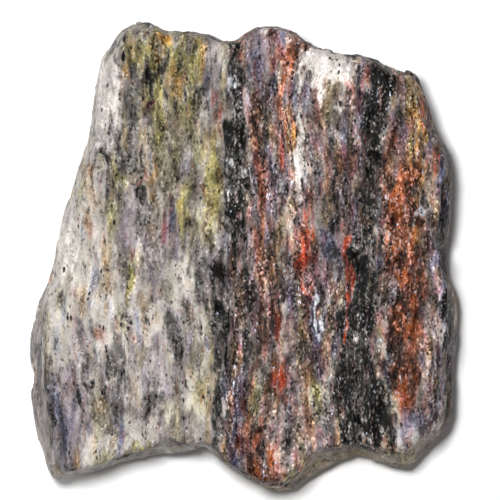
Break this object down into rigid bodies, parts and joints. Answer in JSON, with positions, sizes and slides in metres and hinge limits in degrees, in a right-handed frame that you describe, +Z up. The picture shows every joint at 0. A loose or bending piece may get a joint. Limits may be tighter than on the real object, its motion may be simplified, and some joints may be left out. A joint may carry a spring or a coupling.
{
  "type": "skarn hand specimen",
  "caption": "Rough slab of banded skarn broken to hand size, with upright mineral bands, lying on its broken back.",
  "frame": {"origin": "on the surface that the stone lies on, under the middle of its box", "axes": "+Z up out of the picture face, +Y along the mineral bands towards the stone's top as pictured, +X across the bands"},
  "size_m": [0.0932, 0.102, 0.034],
  "materials": {
    "skarn": "broken, dull with glinting grains"
  },
  "bodies": {
    "root": {"skarn_stone": "skarn"}
  },
  "joints": []
}
